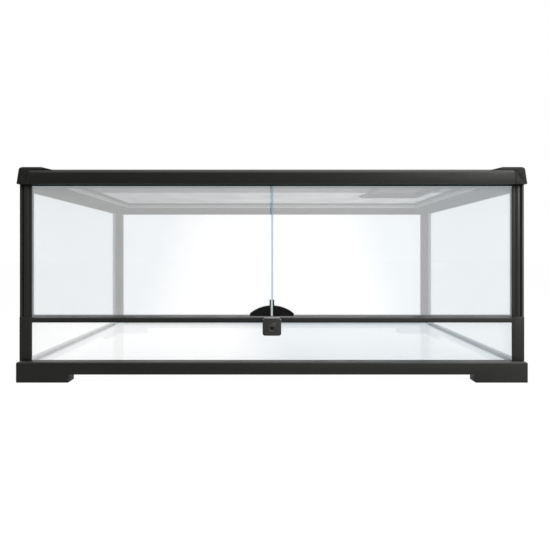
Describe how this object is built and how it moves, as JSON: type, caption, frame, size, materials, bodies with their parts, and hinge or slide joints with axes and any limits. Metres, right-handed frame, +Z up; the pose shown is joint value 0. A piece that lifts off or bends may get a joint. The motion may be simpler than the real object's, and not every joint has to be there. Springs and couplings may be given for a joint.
{
  "type": "reptile terrarium",
  "caption": "Wide glass terrarium in black moulded rails, with hinged double glass doors over a fixed window, a slide lock and a lift-off screen top with a feeding hatch.",
  "frame": {"origin": "centre of the footprint, on the plane that the feet stand on", "axes": "+X to the right seen from the front, +Y to the back, +Z up; the doors face -Y"},
  "size_m": [0.9, 0.45, 0.381],
  "materials": {
    "black_plastic": "fine satin moulded",
    "cap_plastic": "satin moulded",
    "lock_plastic": "fine grain moulded",
    "handle_plastic": "satin moulded",
    "panel_glass": "clear float glass",
    "door_glass": "clear tempered glass",
    "clear_seal": "clear flexible strip",
    "silicone": "cured sealant",
    "steel": "plain",
    "mesh": "coated woven wire"
  },
  "bodies": {
    "tank": {"base_rail_front": "black_plastic", "base_rail_back": "black_plastic", "base_rail_left": "black_plastic", "base_rail_right": "black_plastic", "floor_glass": "panel_glass", "left_glass": "panel_glass", "right_glass": "panel_glass", "back_glass": "panel_glass", "window_glass": "panel_glass", "post_front_left": "black_plastic", "post_front_right": "black_plastic", "post_back_left": "black_plastic", "post_back_right": "black_plastic", "mid_rail": "black_plastic", "top_rail_front": "black_plastic", "top_rail_back": "black_plastic", "top_rail_left": "black_plastic", "top_rail_right": "black_plastic", "cap_front_left": "cap_plastic", "cap_front_right": "cap_plastic", "cap_back_left": "cap_plastic", "cap_back_right": "cap_plastic", "silicone_beads": "silicone", "lock_bracket": "lock_plastic", "lock_screws": "steel"},
    "left_door": {"left_door_glass": "door_glass", "left_hinge_profile": "black_plastic", "left_hinge_pins": "steel", "left_handle": "handle_plastic"},
    "right_door": {"right_door_glass": "door_glass", "right_hinge_profile": "black_plastic", "right_hinge_pins": "steel", "right_handle": "handle_plastic", "right_door_seal": "clear_seal"},
    "door_lock": {"lock_block": "lock_plastic"},
    "screen_top": {"screen_frame": "black_plastic", "screen_mesh": "mesh", "screen_strips": "black_plastic", "hatch_pins": "steel"},
    "hatch": {"hatch_frame": "black_plastic", "hatch_mesh": "mesh", "hatch_strips": "black_plastic"},
    "hatch_turn_button": {"hatch_button": "lock_plastic"}
  },
  "joints": [
    {"name": "left_door_hinge", "type": "hinge", "parent": "tank", "child": "left_door", "pos_m": [-0.4389, -0.21, 0.23], "axis": [0, 0, -1], "range_deg": [0, 110]},
    {"name": "right_door_hinge", "type": "hinge", "parent": "tank", "child": "right_door", "pos_m": [0.4389, -0.21, 0.23], "axis": [0, 0, 1], "range_deg": [0, 110]},
    {"name": "lock_slide", "type": "slide", "parent": "tank", "child": "door_lock", "axis": [0, 0, 1], "range_m": [0, 0.0045]},
    {"name": "screen_lift", "type": "slide", "parent": "tank", "child": "screen_top", "axis": [0, 0, 1], "range_m": [0, 0.06]},
    {"name": "hatch_hinge", "type": "hinge", "parent": "screen_top", "child": "hatch", "pos_m": [0.21645, -0.05, 0.3703], "axis": [0, -1, 0], "range_deg": [0, 110]},
    {"name": "hatch_button_turn", "type": "hinge", "parent": "screen_top", "child": "hatch_turn_button", "pos_m": [0.3565, -0.0525, 0.37], "axis": [0, 0, 1], "range_deg": [0, 90]}
  ]
}
